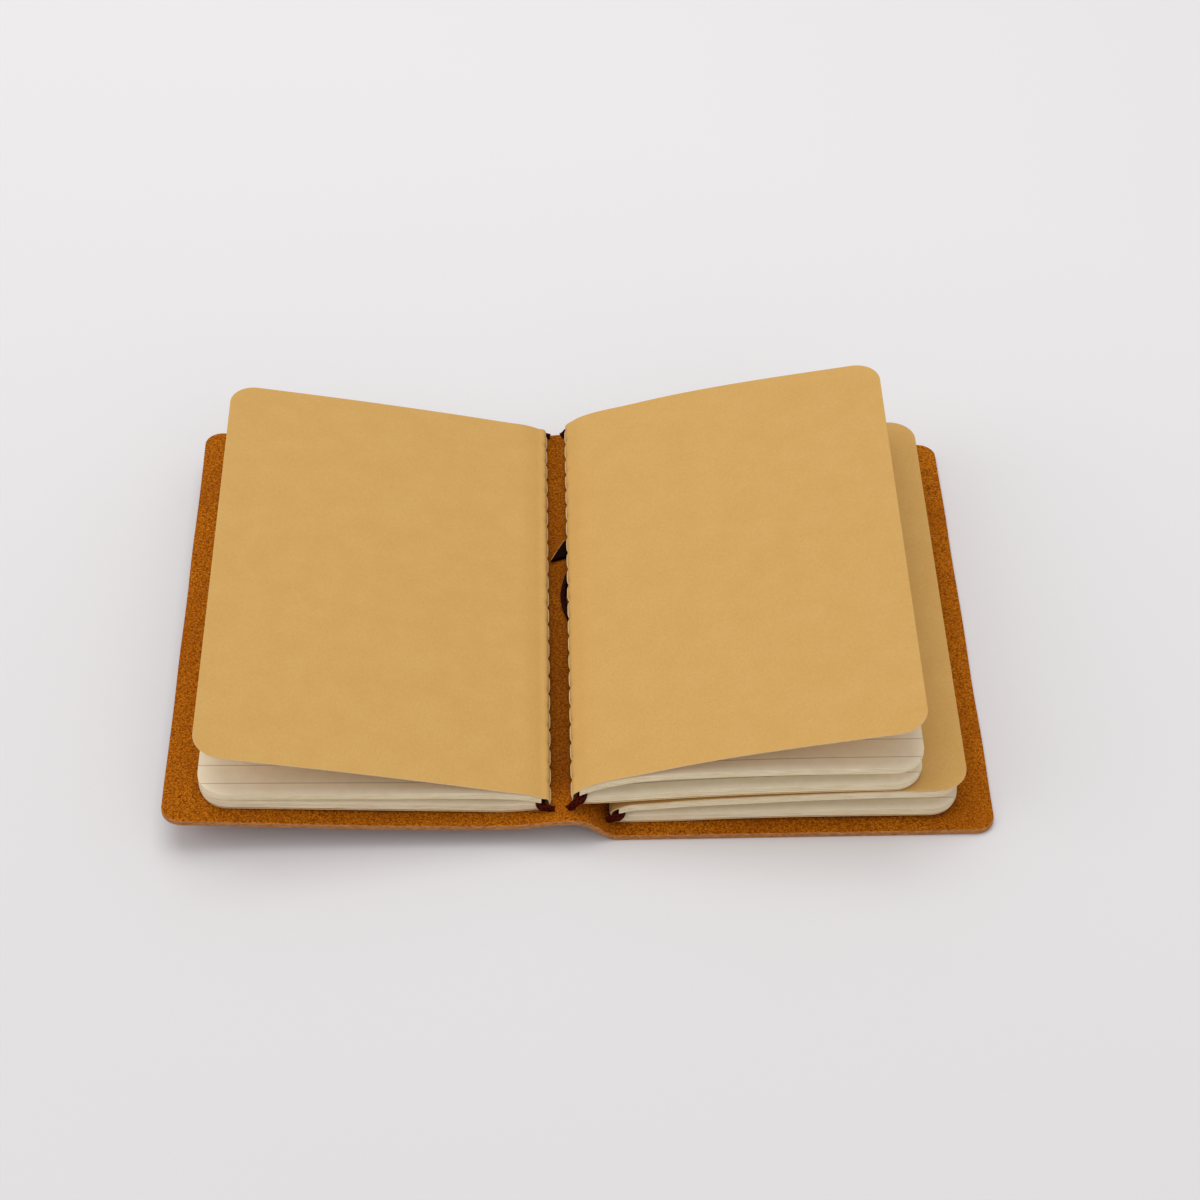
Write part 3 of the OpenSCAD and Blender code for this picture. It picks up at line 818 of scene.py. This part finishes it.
def elastic_route(x, z, low):
    """From the leather at the front, up round the leaves, along the spread, and down again at the back.
    Each end goes sideways by shares of its reach as it goes down by shares of its height."""
    def one_end(end, way):
        out, drop = end + way * 0.6, z - low
        shares = [(0, end - way * 3, 0), (0.05, end - way * 0.3, 0), (0.2, out - way * 0.15, 0.12),
                  (0.5, out, 0.4), (0.8, out, 0.85), (1, out, 1)]
        return [[x - aside * BAND_REACH, y, z - down * drop] for aside, y, down in shares]
    return smooth(one_end(Y0, -1)[::-1] + one_end(Y1, 1), 0.35)


def elastic(name, fold, side, z, low):
    """A flat band on its route, mirrored where side is -1."""
    route = elastic_route(fold + 2.4, z, low) * [side, 1, 1]
    piece = make_tubes(f"{name}_elastic_band", [tube(route, BAND_WIDTH, BAND_DEPTH, 16)], ELASTIC)
    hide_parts(f"{name}_elastic")
    return piece


left_band = elastic("left", LEFT, -1, left_upper[1, 1] - 0.45, height(left_base, LEFT - 1.4) + 0.55)
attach(left_band, "left_booklet")
lower_band = elastic("lower", LOWER, 1, lower_upper[1, 1] - 0.65, height(top, LOWER - 1.4) + 0.55)
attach(lower_band, "back_wing")
upper_band = elastic("upper", UPPER, 1, upper_upper[1, 1] - 0.65, height(top, UPPER - 1.4) + 0.6)
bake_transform(upper_band)

# %% [markdown]
# ## The closure's two ends
# In the gap between the booklets lie the flat end of a strap, with a paler edge, and a bent length of
# dark cord that goes under the fold at both of its ends. Both rest on the hump.

# %% Strap end
SEAT = HUMP + LEATHER + TOUCH                               # the top of the hump
STRAP_LENGTH, STRAP_HALF, STRAP_DEPTH, STRAP_TURN = 8.5, 2.1, 1.05, 64


def strap_end():
    """A flat ribbon turned about the upright, with a slight curl, an end cut on a slant, and a paler bead
    along one edge."""
    s = np.linspace(0, STRAP_LENGTH, 14)
    curl = 0.12 * np.sin(s / STRAP_LENGTH * math.pi)
    line = np.c_[s, SEAT + 0.55 + curl]
    face, faces, part = ribbon(line, STRAP_DEPTH, -STRAP_HALF, STRAP_HALF, columns=12)
    face[:, 0] += (STRAP_HALF - face[:, 1]) * (1 - face[:, 0] / STRAP_LENGTH)
    bead, bead_faces, bead_part, _ = tube(np.c_[s, np.full(14, 2.0), SEAT + 1.0 + curl], 0.34, 0.34, 8)
    a = math.radians(STRAP_TURN)
    turn = np.array([[math.cos(a), math.sin(a), 0], [-math.sin(a), math.cos(a), 0], [0, 0, 1]])
    shapes = [(v @ turn + [-0.1, 92.3, 0], f, p)
              for v, f, p in ((face, faces, 0 * part), (bead, bead_faces, bead_part + 1))]
    piece = make_piece("closure_strap", shapes, [STRAP, CUT])
    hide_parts("closure_strap_end")
    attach(piece, "closure")


strap_end()

# %% Cord end
CORD_WIDTH = 1.5
s = np.linspace(0, 1, 30)
cord_line = np.c_[3.2 - 1.9 * np.sin(math.pi * s), 88.8 - 19 * s, np.full(30, SEAT + CORD_WIDTH / 2)]
cord = make_tubes("closure_cord", [tube(cord_line, CORD_WIDTH, CORD_WIDTH, 16)], CORD)
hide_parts("closure_cord_end")
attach(cord, "closure")
print("closure: strap end and cord end")
